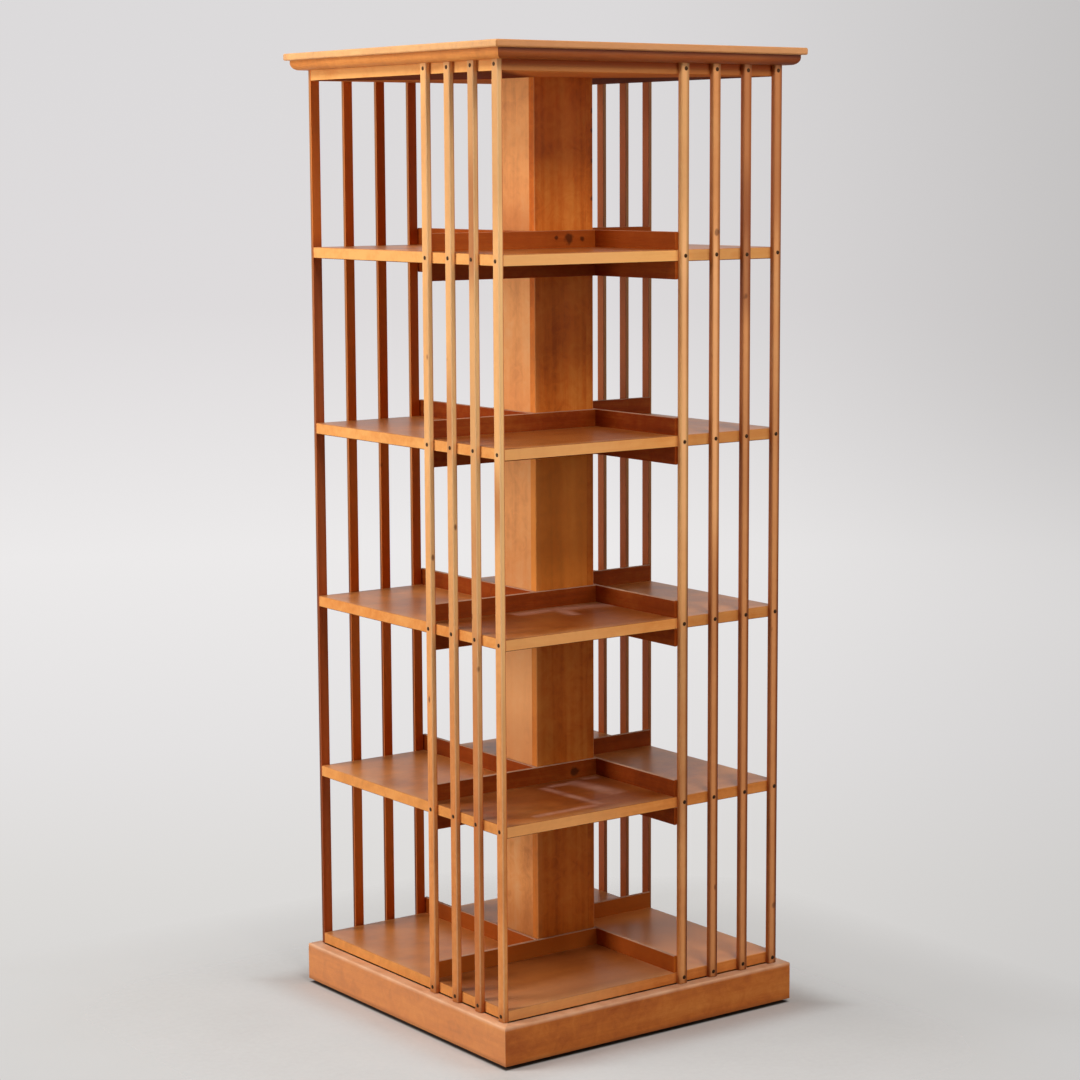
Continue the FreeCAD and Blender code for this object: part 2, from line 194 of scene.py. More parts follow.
def birch(place, grain, tones, vigour=1.0, fine=1.0):
    """Figure of stained birch: growth rings, streaks, fine fibres, flame and cloudy stain.

    grain is the place with the length of the board shrunk; tones are dark, middle and light;
    fine is how strongly the narrow streaks and the fibres show.
    Gives the colour, the tone it came from and the fibres that are felt in the surface.
    """
    broad = grain.noise(19.0, 3.0, 0.55, 0.6)
    rings = grain.node("ShaderNodeTexWave",
                       {"wave_type": "RINGS", "rings_direction": "SPHERICAL"},
                       {"Vector": grain.moved((0.31, 0.17, 0.05)), "Scale": 17.0,
                        "Distortion": 9.0, "Detail": 3.0, "Detail Scale": 1.1,
                        "Detail Roughness": 0.65}, 1) - 0.5
    streaks = grain.noise(150.0, 3.0, 0.65)
    fibres = grain.scaled((2.2, 2.2, 2.2)).noise(330.0, 2.0, 0.7)
    flame = place.noise(42.0, 3.0, 0.6, 1.4)
    cloud = place.noise(11.0, 3.0, 0.6, 0.5)
    tone = (broad * 0.15 + rings * 0.08 + (streaks * 0.08 + fibres * 0.06) * fine
            + flame * 0.09 + cloud * 0.11) * vigour + 0.5
    dark, middle, light = tones
    return tone.coloured((0.08, dark), (0.5, middle), (0.92, light)), tone, fibres


def lengthwise(place, along_x):
    """The place shrunk along x where along_x is 1, and along y where it is 0."""
    return place.node("ShaderNodeMix", {"data_type": "VECTOR"},
                      {0: along_x, 4: place.scaled(ALONG_Y), 5: place.scaled(ALONG_X)}, 1)


def front_or_back(x, y, blur=0.0001):
    """1 in the front and back quarters of the plan, parted at the mitres, and 0 at the sides."""
    return (abs(y) - abs(x)).rise(-blur, blur)


SIDES = ("front", "right", "back", "left")
PLINTH_LOW, PLINTH_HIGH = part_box("plinth_front")

plinth_finish, place = open_finish("plinth_birch")
x, y, z = place.parts()
along_x = front_or_back(x, y)
colour, tone, fibres = birch(place, lengthwise(place, along_x),
                             ("9C4613", "D0742B", "EC9745"), 1.2, 0.5)
rubbed = (z.rise(PLINTH_HIGH.z - 0.008, PLINTH_HIGH.z - 0.001)
          * (place.noise(30.0) * 0.25 + 0.75))
kicked = z.rise(PLINTH_LOW.z + 0.009, PLINTH_LOW.z)
scuffs = place.scaled((1.0, 1.0, 3.0)).noise(60.0, 3.0, 0.7).rise(1.1, 1.6)
# Painted light and shade: the sides are painted paler and the front and back darker.
colour = colour.stained("F2B27E", (1.0 - along_x) * 0.3)
colour = colour.stained("7A2E08", along_x * 0.18)
colour = colour.stained("F6C29A", rubbed * 0.85)
colour = colour.stained("7A3D1C", kicked * 0.5)
colour = colour.stained("E0B08A", scuffs * 0.35)
close_finish(colour, 0.36 + tone * 0.12 + scuffs * 0.2 - rubbed * 0.06,
             fibres * 0.3 + scuffs * 0.4, Specular_IOR_Level=0.2)
lay_on(plinth_finish, *[f"plinth_{side}" for side in SIDES])


# ---------------------------------------------------------------- softwood and glides
# Corner blocks and crossed bearers in the plinth, the block in the column's head and the
# battens under the slab are bare sawn softwood. The feet are turned black plastic glides.

softwood_finish, place = open_finish("sawn_softwood")
colour, tone, fibres = birch(place, place.scaled(ALONG_X), ("9C7646", "C9A36F", "DFC394"))
saw_marks = place.scaled((1.0, 1.0, 0.2)).noise(420.0, 1.0)
close_finish(colour, 0.62 + tone * 0.2, fibres * 0.5 + saw_marks * 0.5)
lay_on(softwood_finish, "corner_blocks", "bearer_long", "bearer_cross", "head_block",
       "top_packing")

glide_finish, place = open_finish("glide_plastic")
grit = place.noise(700.0, 2.0, 0.6)
worn = place.noise(150.0, 3.0, 0.6).rise(0.2, 1.2)
colour = grit.coloured((0.0, "1C1816"), (1.0, "38302B")).stained("57504A", worn * 0.4)
close_finish(colour, 0.5 + worn * 0.25, grit * 0.4 + worn * 0.3)
lay_on(glide_finish, "floor_glides")


# ---------------------------------------------------------------- post and bearing
# A japanned cast flange, screwed down with four coach screws, holds a steel tube. A turned
# pin plugs its top and the case hangs on it by a steel cup, with a brass bush lower down.

def metal(name, tones, rough, grit_scale, lines=(1.0, 1.0, 1.0)):
    """Metal with machining lines or casting grit, and stains in its hollows.

    tones are dark, light and the stain; lines stretches the grit into lines.
    """
    finish, place = open_finish(name)
    dark, light, stain = tones
    grit = place.scaled(lines).noise(grit_scale, 2.0, 0.6)
    stains = place.noise(45.0, 3.0, 0.6).rise(0.1, 1.3)
    colour = (grit * 0.2 + 0.5).coloured((0.1, dark), (0.9, light))
    close_finish(colour.stained(stain, stains * 0.5), rough + stains * 0.25 + grit * 0.03,
                 grit * 0.35 + stains * 0.2, bump=0.0002, Metallic=1.0)
    return finish


TURNED = (0.1, 0.1, 2.0)            # the tool leaves its lines round the piece

lay_on(metal("japanned_iron", ("141211", "2B2725", "3A2C22"), 0.45, 380.0), "post_flange")
lay_on(metal("turned_steel", ("8E8D8B", "C2C1BF", "6E655C"), 0.28, 900.0, TURNED),
       "flange_screws", "centre_post", "pivot_pin", "pivot_cup")
lay_on(metal("turned_brass", ("A8843F", "D9B56A", "7A5C2E"), 0.3, 900.0, TURNED),
       "guide_bush")


# ---------------------------------------------------------------- boards
# Bottom board, four shelves slipped over the column and top board: birch, glued and lacquered,
# the grain running from left to right. Books have dulled and scratched their tops.

SHELVES = range(1, 5)               # from the lowest
BOARDS = ("bottom_board", *[f"shelf_{n}" for n in SHELVES], "top_board")
CASE_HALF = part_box("top_board")[1].x
COLUMN_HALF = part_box("column_right")[1].x
STOP_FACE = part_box("slat_front_4")[0].x     # the fourth slat starts where the book stop ends
STOP_LINE = (COLUMN_HALF + STOP_FACE) / 2   # middle of the book stops, which part the bays
CORNICE_LOW, CORNICE_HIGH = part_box("cornice_front")
BAY = (0.062, 0.072)                # a bay's own look sets in underneath the stop beside it

board_finish, place = open_finish("board_birch")
x, y, z = place.parts()
facing_z = place.also("Normal").parts()[2]
top_face = facing_z.rise(0.3, 0.9)
under_face = facing_z.rise(-0.3, -0.8)
edge_face = abs(facing_z).rise(0.7, 0.3)
out_from_middle = abs(x).larger(abs(y))
lowest_board = z.rise(0.2, 0.1)
top_board = z.rise(1.5, 1.6)
colour, tone, fibres = birch(place, place.scaled(ALONG_X), ("5C2106", "8C4012", "B06228"))

# The edges carry painted light and shade: paler the higher they are, the front and back ones
# painted paler to the left and darker to the right, and the side ones paler low down.
# Heights here and below are above the floor, where the tops of the five lower boards lie at
# 0.094, 0.406, 0.718, 1.03 and 1.342.
long_edge = (abs(y) - abs(x)).rise(0.0, 0.001)
edges = (tone * 0.7 + z.smaller(1.36) * 0.34 - 0.1).coloured(
    (0.1, "C46C30"), (0.4, "E99248"), (0.75, "FBB66A"))
edges = edges.stained("FFBC78", long_edge * x.rise(0.05, -0.15) * 0.5)
edges = edges.stained("FFC070", (1.0 - long_edge) * z.rise(0.8, 0.2) * 0.3)
edges = edges.stained("8C4A1E", long_edge * x.rise(0.07, 0.11) * z.rise(0.2, 0.7) * 0.34)
colour = colour.stained(edges, edge_face * 0.9)

# The top board's front and back edges are painted darker, with painted shadow on its edge under
# the cornice. Undersides are painted in shade, apart from the front and back quarters of the top
# board's, which are painted lighter.
colour = colour.stained("A04C18", edge_face * long_edge * top_board * 0.7)
painted_cornice_shadow = (edge_face * z.rise(CORNICE_LOW.z - 0.014, CORNICE_LOW.z - 0.004)
         * (long_edge * 0.65 + 0.2))
colour = colour.stained("9C3C08", painted_cornice_shadow)
painted_light = top_board * front_or_back(x, y, 0.03)
colour = colour.stained("4A1803", under_face * (1.0 - painted_light) * 0.6)
colour = colour.stained("D8803C", under_face * painted_light * 0.85)

# Dust and painted light pale the left, right and back bays most, and painted light pales the
# tops of those bays and of the bottom board. The front bay has painted shade near the column,
# and a painted sheen near the front of the bottom board.
side_bays = y.rise(-STOP_LINE - 0.03, -STOP_LINE + 0.03).larger(x.rise(*BAY))
dust_and_painted_light = top_face * place.noise(7.0, 4.0, 0.6).rise(-1.1, 1.3) * (side_bays * 0.75 + 0.25)
colour = colour.stained("FFA858", dust_and_painted_light * 0.9)
right_bay = x.rise(*BAY) * y.rise(BAY[1], BAY[0])
left_bay = x.rise(-BAY[0], -BAY[1]) * y.rise(-BAY[1], -BAY[0])
painted_light_tint = right_bay * (lowest_board * 0.42 + 0.25) + left_bay * 0.3 + lowest_board * 0.14
colour = colour.stained("F89848", top_face * painted_light_tint)
front_bay = top_face * (1.0 - side_bays)
painted_shade_near_column = front_bay * y.rise(-0.27, -0.12)
colour = colour.stained("5A1E08", painted_shade_near_column * (z.rise(1.05, 0.75) * 0.24 + 0.16))
colour = colour.stained("D8A078", front_bay * lowest_board * y.rise(-0.17, -0.24) * 0.25)


def scuff(place, start, end, height, wide):
    """A straight rubbed line on a board from one point to another, ragged at its sides."""
    run = Vector(end) - Vector(start)
    turn = math.atan2(run.y, run.x)
    here = place.node("ShaderNodeMapping", {"vector_type": "TEXTURE"},
                      {"Vector": place, "Location": (*start, height),
                       "Rotation": (0.0, 0.0, turn)})
    along, aside, up = here.parts()
    ragged = abs(aside) - place.noise(130.0, 3.0, 0.7) * wide * 0.3
    ends = along.rise(-0.004, 0.004) * along.rise(run.length + 0.004, run.length - 0.004)
    worn = place.noise(28.0, 2.0, 0.6) * 0.3 + 0.7
    return ragged.rise(wide * 3.0, 0.0) * ends * worn * abs(up).rise(0.02, 0.01)


# Where each rubbed line of a shelf starts and ends, and how wide it is.
SCUFFS = {"shelf_1": (((-0.077, -0.097), (-0.069, -0.253), 0.005),
                      ((-0.214, -0.2585), (-0.079, -0.2545), 0.0045),
                      ((-0.0645, -0.097), (-0.0125, -0.0975), 0.0045),
                      ((-0.0085, -0.086), (0.0075, -0.209), 0.0095),
                      ((0.020, -0.083), (0.0525, -0.088), 0.005)),
          "shelf_2": (((-0.1345, -0.096), (-0.040, -0.0895), 0.009),
                      ((-0.040, -0.0895), (0.064, -0.1085), 0.012),
                      ((-0.040, -0.0895), (-0.0505, -0.1615), 0.007))}

lines = None
for shelf, rubbed_lines in SCUFFS.items():
    for start, end, wide in rubbed_lines:
        line = scuff(place, start, end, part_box(shelf)[1].z, wide)
        lines = line if lines is None else lines.larger(line)
scratches = place.node("ShaderNodeMapping", {},
                       {"Vector": place, "Rotation": (0.0, 0.0, 0.6),
                        "Scale": (1.0, 0.06, 1.0)}).noise(170.0, 2.0, 0.6).rise(1.25, 1.6)
marks = (lines + scratches * 0.5).smaller(1.0) * top_face
handled = (top_face * out_from_middle.rise(CASE_HALF - 0.028, CASE_HALF - 0.001)
           * (place.noise(24.0) * 0.3 + 0.6))
colour = colour.stained("D8A08A", marks * 0.5)
colour = colour.stained("E2A56A", handled * 0.4)
close_finish(colour, 0.36 + tone * 0.1 + dust_and_painted_light * 0.12 + marks * 0.2 + under_face * 0.45,
             fibres * 0.3 - marks * 0.3, Specular_IOR_Level=0.05,
             Coat_Weight=top_face * (side_bays * 0.36 + 0.24), Coat_Roughness=0.3)
lay_on(board_finish, *BOARDS)


# ---------------------------------------------------------------- column
# Hollow square column of four upright birch boards, each butted and glued to the face of the
# next. The left one is painted paler, as painted light, with painted shade at the foot of each
# tier, and the front one has painted light about the third tier and near its left edge.

ALONG_Z = (1.0, 1.0, GRAIN)
DECK_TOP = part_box("bottom_board")[1].z
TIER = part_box("shelf_1")[1].z - DECK_TOP
THIRD_TIER = (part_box("shelf_2")[1].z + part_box("shelf_3")[1].z) / 2      # its middle
DEEP_TONES = ("943C06", "D67021", "EC9A42")
PAINTED_LIGHT_TONES = ("BA6A36", "F8A860", "FFCC90")
BRUISES = (1.577, 1.543, 1.492, 1.427)      # heights of the knocks on the right front arris
BRUISE_SIZE = 0.0065


def knot_at(place, centre, size):
    """How much of a ragged dark knot of that size lies at a point of the wood."""
    away = place.node("ShaderNodeVectorMath", {"operation": "DISTANCE"},
                      {0: place, 1: centre}, "Value")
    ragged = place.noise(85.0, 2.0, 0.6) * size * 0.35
    return (away + ragged).rise(size, size * 0.3)


for number, side in enumerate(SIDES):
    column_finish, place = open_finish(f"column_birch_{side}")
    x, y, z = place.parts()
    grain = place.moved((0.37 * number, 0.11 * number, 0.0)).scaled(ALONG_Z)
    tones = PAINTED_LIGHT_TONES if side == "left" else DEEP_TONES
    colour, tone, fibres = birch(place.moved((0.0, 0.0, 0.7 * number)), grain, tones, 1.15, 0.45)
    arris = (abs(x).rise(COLUMN_HALF - 0.0025, COLUMN_HALF - 0.0002)
             * abs(y).rise(COLUMN_HALF - 0.0025, COLUMN_HALF - 0.0002))
    colour = colour.stained("E5A468", arris * 0.5)
    if side == "left":
        # Painted light pales the left face, and painted shade darkens the foot of each tier.
        painted_light_tint = z.rise(0.36, 0.46) * (z.rise(0.76, 0.68) * 0.42 + 0.25)
        colour = colour.stained("FFB878", painted_light_tint)
        painted_shade_foot = (z - DECK_TOP).past(TIER).rise(0.15, 0.03)
        colour = colour.stained(
            "A85C28", painted_shade_foot * (z.rise(1.3, 1.36) * 0.25 + z.rise(0.4, 0.38) * 0.2 + 0.32))
    if side == "front":
        # Painted light on the front face, about the third tier and near its left edge lower
        # down.
        colour = colour.stained("FFA040", abs(z - THIRD_TIER).rise(0.16, 0.1) * 0.5)
        colour = colour.stained("F0A050", x.rise(-0.048, -0.06) * z.rise(1.3, 1.1) * 0.3)
    if side == "right":
        for height in BRUISES:
            bruise = knot_at(place, (COLUMN_HALF, -COLUMN_HALF, height), BRUISE_SIZE)
            colour = colour.stained("4A1C06", bruise * 0.8)
    close_finish(colour, 0.4 + tone * 0.12, fibres * 0.35, Specular_IOR_Level=0.1)
    lay_on(column_finish, f"column_{side}")


# ---------------------------------------------------------------- book stops and shelf rails
# Thin rails, glued pinwheel fashion round the column on top of each board and under each
# shelf. Every rail's grain runs along it, and its top edge is rubbed pale by books.

RAIL_HALF = (STOP_FACE - COLUMN_HALF) / 2   # half of a rail's thickness


def speckled(place, colour, cells, size, code):
    """Small dark pin knots, scattered one to a cell in some of the cells."""
    spot = place.node("ShaderNodeTexVoronoi", {}, {"Vector": place, "Scale": cells}, "Distance")
    wild = place.noise(cells * 0.23, 0.0)
    knot = spot.rise(size, size * 0.35) * wild.rise(0.35, 0.5)
    return colour.stained(code, knot * 0.75), knot


rail_finish, place = open_finish("rail_birch")
y, z = place.parts()[1:]
facing_y, facing_z = place.also("Normal").parts()[1:]
along_x = abs(abs(y) - STOP_LINE).rise(RAIL_HALF + 0.0002, RAIL_HALF + 0.0001)
grain = lengthwise(place, along_x)
colour, tone, fibres = birch(place, grain, ("601E04", "90390C", "AE5C20"))
# The lowest, top and lower stops are paler, and the front faces of the lowest stops carry
# painted light.
lowest_stops = z.rise(0.2, 0.12)
paler_stops = lowest_stops + z.rise(1.27, 1.35) + z.rise(0.85, 0.75) * 0.3
colour = colour.stained("C0601E", paler_stops * 0.4)
colour = colour.stained("D07024", facing_y.rise(-0.3, -0.8) * lowest_stops * 0.45)
rubbed = facing_z.rise(0.3, 0.8) * (place.noise(20.0) * 0.2 + 0.8)
colour = colour.stained("E6BC9A", rubbed * z.rise(1.35, 0.9) * 0.8)
colour = colour.stained("C98E66", rubbed * z.rise(0.9, 1.35) * 0.5)

# The larger knots show in the front faces of the fourth shelf's stops and the first's.
STOP_KNOTS = ((-0.0215, 1.3595, 0.005), (0.0065, 1.358, 0.0125), (0.0345, 1.3565, 0.006),
              (0.014, 0.417, 0.012))            # across, height and size
colour, knots = speckled(grain, colour, 20.0, 0.1, "4A1F0C")
for across, height, size in STOP_KNOTS:
    knots = knots.larger(knot_at(place, (across, -STOP_FACE, height), size))
colour = colour.stained("3E1806", knots * 0.8)
close_finish(colour, 0.42 + tone * 0.12, fibres * 0.35 + knots * 0.3, Specular_IOR_Level=0.06)
lay_on(rail_finish, "book_stops_bottom", *[f"book_stops_{n}" for n in SHELVES],
       *[f"shelf_rails_{n}" for n in SHELVES])


# ---------------------------------------------------------------- slats
# Sixteen upright birch slats, planted on the edges of the boards with their outer arrises
# rounded. They are paler than the boards, no two quite alike, and rubbed bright on the arrises,
# with a painted highlight there.

SLATS = range(1, 5)                 # to a side
SLAT_LOW, SLAT_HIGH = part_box("slat_front_1")
SLAT_FACE = -SLAT_LOW.y             # outer faces of the slats, from the middle of the case
SLAT_HALF = (SLAT_HIGH.x - SLAT_LOW.x) / 2
SLAT_PITCH = SLAT_HIGH.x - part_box("slat_front_2")[1].x
SECOND_SLAT = SLAT_LOW.x + SLAT_HALF - SLAT_PITCH
SLAT_START = STOP_FACE - SLAT_PITCH         # the slats stand this far past whole pitches

slat_finish, place = open_finish("slat_birch")
x, y, z = place.parts()
facing_x, facing_y = place.also("Normal").parts()[:2]
on_front = front_or_back(x, y)
out_from_middle = abs(x).larger(abs(y))
sideways = abs(x).smaller(abs(y))
across_slat = sideways.past(SLAT_PITCH)
colour, tone, fibres = birch(place, place.scaled(ALONG_Z), ("A65018", "E08B46", "F8B974"), 0.9)

# Each slat has a number between 0 and 1 for its own tone, and its own dark heartwood. Most of
# the front and back ones are painted paler from the third tier up, as painted light.
cell = place.node("ShaderNodeVectorMath", {"operation": "FLOOR"},
                  {0: place.scaled((1 / SLAT_PITCH, 1 / SLAT_PITCH, 0.0))})
cell_x, cell_y = cell.parts()[:2]
number = (cell_x * 0.96 + cell_y * 0.59).math("FRACT")
heart = cell.scaled((3.7, 5.3, 0.0)).moved(place.scaled((0.0, 0.0, 1.0)))
heart = heart.noise(2.6, 2.0, 0.5).rise(0.15, 1.1)
painted_light_upper = on_front * x.rise(0.19, 0.17) * z.rise(0.78, 0.92)
colour = colour.stained("A85420", number.rise(0.2, 1.0) * (1.0 - painted_light_upper) * 0.55)
colour = colour.stained("8C4719", heart * 0.6)

# Painted light pales the upper parts and the flanks of the left-hand slats that face the front,
# and the crowns of the front and back slats carry a painted highlight.
painted_light = z.rise(0.3, 1.1) * (1.0 - heart) * (1.0 - on_front * number * 0.9)
colour = colour.stained("FFD28C", painted_light * 0.4)
painted_light_left_flank = facing_y.rise(-0.3, -0.8) * x.rise(0.007 - CASE_HALF, 0.003 - CASE_HALF)
colour = colour.stained("FFC884", painted_light_left_flank * z.rise(0.25, 0.9) * 0.85)
painted_crown_highlight = across_slat.rise(0.001, 0.005) * across_slat.rise(0.014, 0.009) * on_front
colour = colour.stained("FFBC80", painted_crown_highlight * (painted_light_upper * z.rise(1.42, 1.32) * 0.4 + 0.3))

# Painted shade darkens the front and back slats on the left flanks of those to the right, and
# towards their outer edges.
painted_shade_flank = facing_x.rise(-0.4, -0.8) * on_front * x.rise(0.1, 0.12)
colour = colour.stained("7C3610", painted_shade_flank * 0.45)
shaded = across_slat.rise(0.0095, 0.0165) * on_front
colour = colour.stained("5E2408", shaded * (z.rise(0.95, 0.7) * 0.3 + 0.6))

# Painted shade darkens the top tier of the slats near the front, redder on the right-hand front
# ones. The second slat has a red heart, as the wood was, and some front and back ones are duller
# in the second tier.
painted_shade_top_right = on_front * x.rise(0.18, 0.2) * z.rise(1.34, 1.4)
colour = colour.stained("A04A1A", painted_shade_top_right * 0.35)
second_slat = abs(x - SECOND_SLAT).rise(0.012, 0.009) * on_front
streaky = place.scaled(ALONG_Z).noise(60.0) * 0.3 + 0.5
red_heart = second_slat * z.rise(1.2, 1.27) * z.rise(1.52, 1.42) * streaky
colour = colour.stained("702408", red_heart)
painted_top_tier_shade = y.rise(-0.1, -0.2) * z.rise(1.36, 1.46)
colour = colour.stained("9A5A2C", painted_top_tier_shade * 0.3)
dull = on_front * x.rise(0.12, 0.1) * z.rise(0.8, 0.65) * z.rise(0.3, 0.45)
colour = colour.stained("7A3A18", dull * 0.3)

# The inner faces are painted in shade, with painted light warming the back slats but for the
# left-hand one, and more painted shade in the top tier. The right-hand slats' flanks that face
# the front carry the darkest painted shade.
inner = out_from_middle.rise(CASE_HALF + 0.0025, CASE_HALF + 0.0002)
far_side = y.rise(CASE_HALF - 0.01, CASE_HALF - 0.001)
top_tier = z.rise(1.33, 1.37)
colour = colour.stained("BC5824", inner * 0.85)
painted_light_back = inner * far_side * 0.85 * x.rise(-0.27, -0.21).larger(top_tier)
colour = colour.stained("F48733", painted_light_back)
painted_shade_under_top = inner * far_side * (top_tier * x.rise(-0.22, -0.12))
colour = colour.stained("5A1A04", painted_shade_under_top * 0.35)
painted_shade_right_flank = facing_y.rise(-0.4, -0.8) * x.rise(CASE_HALF - 0.005, CASE_HALF - 0.001)
colour = colour.stained("5A1A04", painted_shade_right_flank * 0.6)

# Arrises rubbed pale with a painted highlight, painted shade at the foot, and knots.
from_slat_middle = abs(across_slat - SLAT_START - SLAT_HALF)
arris = (from_slat_middle.rise(SLAT_HALF - 0.0026, SLAT_HALF - 0.0009)
         * out_from_middle.rise(SLAT_FACE - 0.003, SLAT_FACE - 0.0011))
colour = colour.stained("FAD0A0", arris * (1.0 - on_front * 0.8) * 0.35)
colour = colour.stained("8F4F26", z.rise(0.11, 0.075) * 0.5)
SLAT_KNOTS = ((0.283, 0.18), (0.211, 1.26), (0.147, 1.37))      # across and height
colour, knots = speckled(place.scaled((1.0, 1.0, 0.5)), colour, 26.0, 0.1, "8C4A22")
knots = knots * 0.5
for across, height in SLAT_KNOTS:
    knots = knots.larger(knot_at(place, (across, -SLAT_FACE, height), 0.007))
colour = colour.stained("4E200A", knots * 0.6)
close_finish(colour, 0.38 + tone * 0.12, fibres * 0.35 + knots * 0.3, Specular_IOR_Level=0.15)
lay_on(slat_finish, *[f"slat_{side}_{n}" for side in SIDES for n in SLATS])


# ---------------------------------------------------------------- slat pins
# A blackened round-headed steel pin fixes every slat to every board, ninety-six in all. Each
# head is a low dome, driven down until its rim is just under the face of the slat.

PIN_RADIUS = 0.0038
PIN_STRAY = 0.0012                  # how far a pin may sit off its proper place
PIN_PROUD = 0.0006
PIN_SUNK = 0.0012
PIN_ROUND = 0.0012

pin_finish = metal("blackened_pins", ("2A1B10", "4A3320", "5A4430"), 0.5, 800.0)
hammer = random.Random(11)
for turns, side in enumerate(SIDES):
    mesh = bmesh.new()
    for n in SLATS:
        slat_low, slat_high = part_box(f"slat_front_{n}")
        for board in BOARDS:
            board_low, board_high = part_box(board)
            across = (slat_low.x + slat_high.x) / 2 + hammer.uniform(-PIN_STRAY, PIN_STRAY)
            height = (board_low.z + board_high.z) / 2 + hammer.uniform(-PIN_STRAY, PIN_STRAY)
            middle = Vector((across, (PIN_SUNK - PIN_PROUD) / 2 - SLAT_FACE, height))
            head = bmesh.ops.create_cone(
                mesh, cap_ends=True, segments=12, radius1=PIN_RADIUS, radius2=PIN_RADIUS,
                depth=PIN_SUNK + PIN_PROUD,
                matrix=Matrix.Translation(middle) @ Matrix.Rotation(math.pi / 2, 4, "X"))
            rim = {edge for vert in head["verts"] for edge in vert.link_edges
                   if all(end.co.y < -SLAT_FACE for end in edge.verts)}
            bmesh.ops.bevel(mesh, geom=list(rim), offset=PIN_ROUND, affect="EDGES",
                            segments=2, profile=0.5, material=-1)
    bmesh.ops.rotate(mesh, verts=mesh.verts, cent=(0, 0, 0),
                     matrix=Matrix.Rotation(turns * math.pi / 2, 3, "Z"))
    data = bpy.data.meshes.new(f"slat_pins_{side}")
    mesh.to_mesh(data)
    mesh.free()
    data.shade_smooth()
    data.materials.append(pin_finish)
    pins = bpy.data.objects.new(f"slat_pins_{side}", data)
    bpy.context.scene.collection.objects.link(pins)
    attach(pins, "case")


# ---------------------------------------------------------------- cornice
# Four lengths of ovolo moulding in birch, mitred at the corners and glued over the tops of
# the slats to the battens behind. The grain runs along each length.

cornice_finish, place = open_finish("cornice_birch")
x, y, z = place.parts()
along_x = front_or_back(x, y)
colour, tone, fibres = birch(place, lengthwise(place, along_x), ("A85C22", "D8863E", "EEA858"))
painted_slab_shadow = z.rise(CORNICE_HIGH.z - 0.005, CORNICE_HIGH.z - 0.0005)
# Painted shade darkens the front and back lengths and their right ends, and painted shadow lies
# under the slab.
colour = colour.stained("7E2400", along_x * 0.76)
colour = colour.stained("5A1E05", painted_slab_shadow * (along_x * 0.5 + 0.2))
colour = colour.stained("5A1604", along_x * x.rise(0.2, 0.3) * 0.5)
close_finish(colour, 0.38 + tone * 0.12, fibres * 0.35, Specular_IOR_Level=0.15)
lay_on(cornice_finish, *[f"cornice_{side}" for side in SIDES])


# ---------------------------------------------------------------- top slab
# One wide board of birch with a rounded edge, glued up from planks whose grain runs from
# left to right, so the end grain shows on the left and right edges.

SLAB_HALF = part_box("top_slab")[1].x

slab_finish, place = open_finish("slab_birch")
x, y = place.parts()[:2]
colour, tone, fibres = birch(place, place.scaled(ALONG_X), ("A0561F", "DE9348", "F2B56A"))
out_from_middle = abs(x).larger(abs(y))
rubbed = out_from_middle.rise(SLAB_HALF - 0.0035, SLAB_HALF - 0.0005)
long_edge = abs(y).rise(SLAB_HALF - 0.004, SLAB_HALF - 0.0005)
colour = colour.stained("F4CB96", rubbed * 0.3)
# The front and back edges are painted darker, as painted shade.
colour = colour.stained("A4541C", long_edge * 0.55)
cup_rings = place.noise(14.0, 3.0, 0.6).rise(0.7, 1.3)
colour = colour.stained("E9C7A4", cup_rings * 0.25)
close_finish(colour, 0.34 + tone * 0.12 + cup_rings * 0.12, fibres * 0.35,
             Specular_IOR_Level=0.3)
lay_on(slab_finish, "top_slab")


# ---------------------------------------------------------------- floor and light
# A pale, fine-grained concrete floor that fades into an even pale grey studio. Five softboxes
# light the bookcase, the strongest from the left and the front, and the room fills in faintly.

FLOOR_HALF = 9.0

floor_mesh = bmesh.new()
bmesh.ops.create_grid(floor_mesh, x_segments=1, y_segments=1, size=FLOOR_HALF)
data = bpy.data.meshes.new("studio_floor")
floor_mesh.to_mesh(data)
floor_mesh.free()
floor = bpy.data.objects.new("studio_floor", data)
bpy.context.scene.collection.objects.link(floor)

# The concrete carries a painted shadow, near black in the gap under the plinth and soft round
# it, and farther out it gives way to the room behind it.
floor_finish, place = open_finish("studio_concrete")
x, y = place.parts()[:2]
out_from_middle = abs(x).larger(abs(y))
mottle = place.noise(5.0, 5.0, 0.62) * 0.12 + place.noise(90.0, 3.0, 0.6) * 0.08 + 0.5
colour = mottle.coloured((0.2, "CFCAC5"), (0.8, "E3DFDB"))
painted_gap_shadow = out_from_middle.rise(PLINTH_HIGH.x + 0.002, PLINTH_HIGH.x - 0.005)
colour = colour.stained("1C1410", painted_gap_shadow * 0.95)
colour = colour.stained("A8968A", out_from_middle.rise(0.42, 0.33) * 0.16)
concrete = place.node("ShaderNodeBsdfDiffuse", {}, {"Color": colour})
open_air = place.node("ShaderNodeBsdfTransparent", {}, {})
far_off = ((out_from_middle.rise(0.32, 0.42) + out_from_middle.rise(0.52, 1.1)) * 0.5
           + (x.rise(0.3, 0.55) + y.rise(0.35, 0.6)) * 0.25).smaller(1.0)
ray = place.node("ShaderNodeLightPath", {}, {}, "Is Camera Ray")
seen = ray.larger(ray.also("Is Glossy Ray"))
surface = place.node("ShaderNodeMixShader", {}, {0: far_off * seen, 1: concrete, 2: open_air})
surface.show("ShaderNodeOutputMaterial")
floor.data.materials.append(floor_finish)

# The room gives a faint even fill. Where it is seen itself it is a wall of uneven pale grey,
# with painted shade darkening it towards the camera's right.
ROOM_FILL = 0.03
CAMERA_RIGHT = (0.81, -0.59)

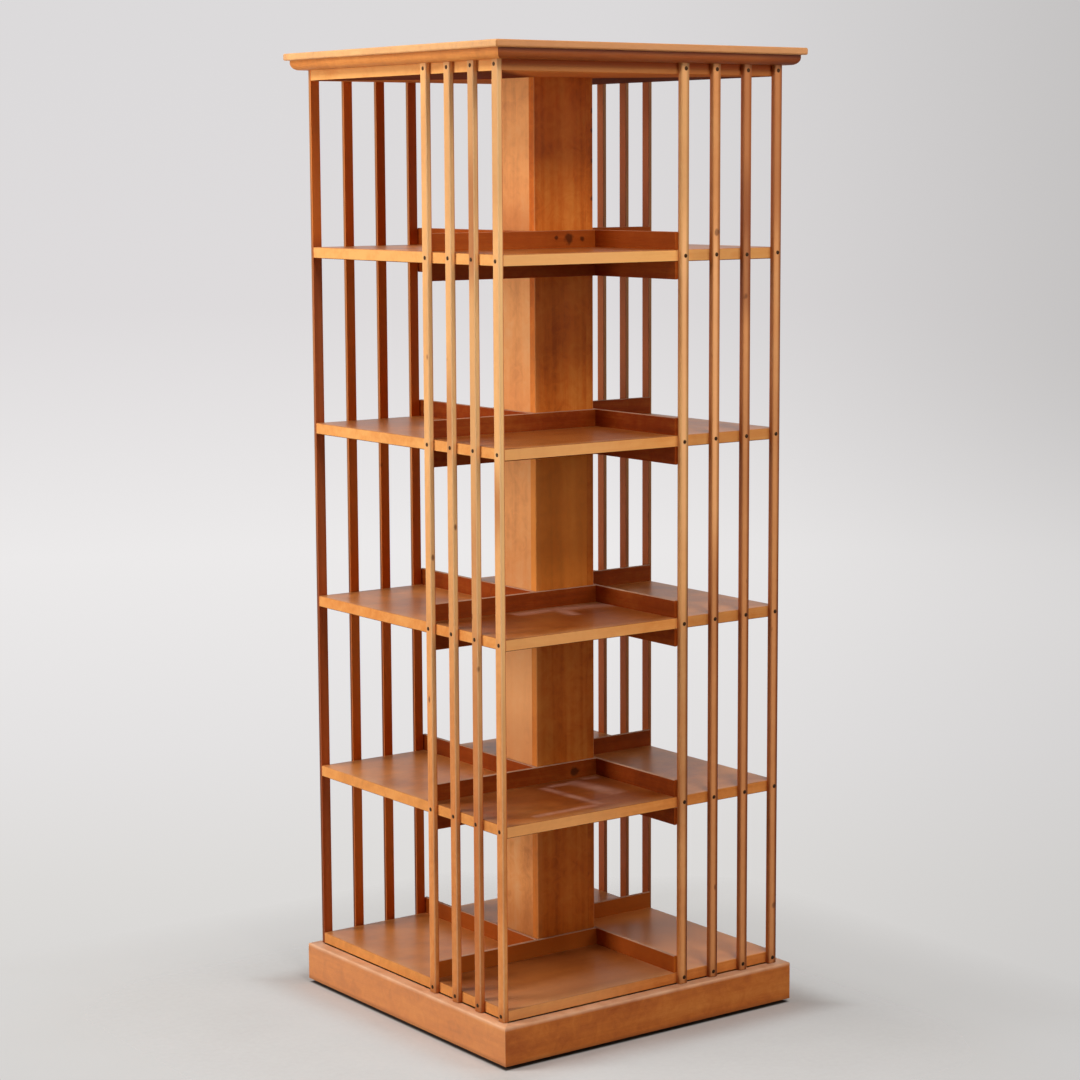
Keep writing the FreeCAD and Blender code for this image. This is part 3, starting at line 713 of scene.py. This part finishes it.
world = bpy.data.worlds.new("studio")
bpy.context.scene.world = world
world.use_nodes = True
world.node_tree.nodes.clear()
rays = world.node_tree.nodes.new("ShaderNodeLightPath")
ray = Wire(world.node_tree, rays.outputs["Is Camera Ray"])
seen = ray.larger(ray.also("Is Glossy Ray")).larger(ray.also("Is Transmission Ray"))
east, north, up = ray.node("ShaderNodeTexCoord", {}, {}, "Generated").parts()
rightward = (east * CAMERA_RIGHT[0] + north * CAMERA_RIGHT[1]).rise(0.0, 0.27)
wall = (up + 0.5).coloured((0.19, "D6D4D2"), (0.243, "DDDBD9"), (0.29, "E4E2E2"),
                           (0.36, "ECEAEA"), (0.45, "DEDBDC"), (0.55, "DCDADB"))
wall = wall.stained("BAB8B7", rightward * (up.rise(-0.17, -0.06) * 0.4 + 0.45))
fill = ray.node("ShaderNodeBackground", {}, {"Color": shade("FFFFFF"), "Strength": ROOM_FILL})
backdrop = ray.node("ShaderNodeBackground", {}, {"Color": wall, "Strength": 1.0})
surface = ray.node("ShaderNodeMixShader", {}, {0: seen, 1: fill, 2: backdrop})
surface.show("ShaderNodeOutputWorld")

AIM = Vector((0.0, 0.0, 1.2))       # the lamps look at the upper half of the bookcase


def softbox(name, place, width, height, watts):
    """An even soft lamp of the given width and height, turned towards the bookcase."""
    lamp = bpy.data.lights.new(name, "AREA")
    lamp.shape = "RECTANGLE"
    lamp.size = width
    lamp.size_y = height
    lamp.energy = watts
    stand = bpy.data.objects.new(name, lamp)
    stand.location = place
    stand.rotation_euler = (AIM - Vector(place)).to_track_quat("-Z", "Y").to_euler()
    bpy.context.scene.collection.objects.link(stand)


softbox("left_strip", (-2.7, 1.1, 1.4), width=1.0, height=1.8, watts=50.0)
softbox("left_softbox", (-2.15, 0.6, 3.05), width=1.0, height=1.0, watts=40.0)
softbox("front_softbox", (-0.3, -2.1, 3.2), width=1.0, height=1.0, watts=46.0)
softbox("overhead_softbox", (0.0, 0.0, 3.6), width=1.4, height=1.4, watts=10.0)
softbox("right_strip", (1.4, -2.5, 1.8), width=1.0, height=1.6, watts=22.0)


# ---------------------------------------------------------------- camera
# A long lens at chest height, turned a little to the left of the front and looking slightly
# down, so that the front and the left side both show.

CAMERA_PLACE = (-2.7881, -3.8119, 1.4801)
CAMERA_TURN = math.radians(-36.0987)
CAMERA_DOWN = math.radians(7.8839)
CAMERA_ROLL = math.radians(-0.2855)
FOCAL_LENGTH = 89.765               # this and the sensor in millimetres
SENSOR_WIDTH = 36.0
FARTHEST_SEEN = 60.0

lens = bpy.data.cameras.new("camera")
lens.lens = FOCAL_LENGTH
lens.sensor_width = SENSOR_WIDTH
lens.clip_end = FARTHEST_SEEN
camera = bpy.data.objects.new("camera", lens)
camera.matrix_world = (Matrix.Translation(CAMERA_PLACE)
                       @ Matrix.Rotation(CAMERA_TURN, 4, "Z")
                       @ Matrix.Rotation(math.pi / 2 - CAMERA_DOWN, 4, "X")
                       @ Matrix.Rotation(CAMERA_ROLL, 4, "Z"))
bpy.context.scene.collection.objects.link(camera)
bpy.context.scene.camera = camera
bpy.context.scene.view_settings.view_transform = "Standard"
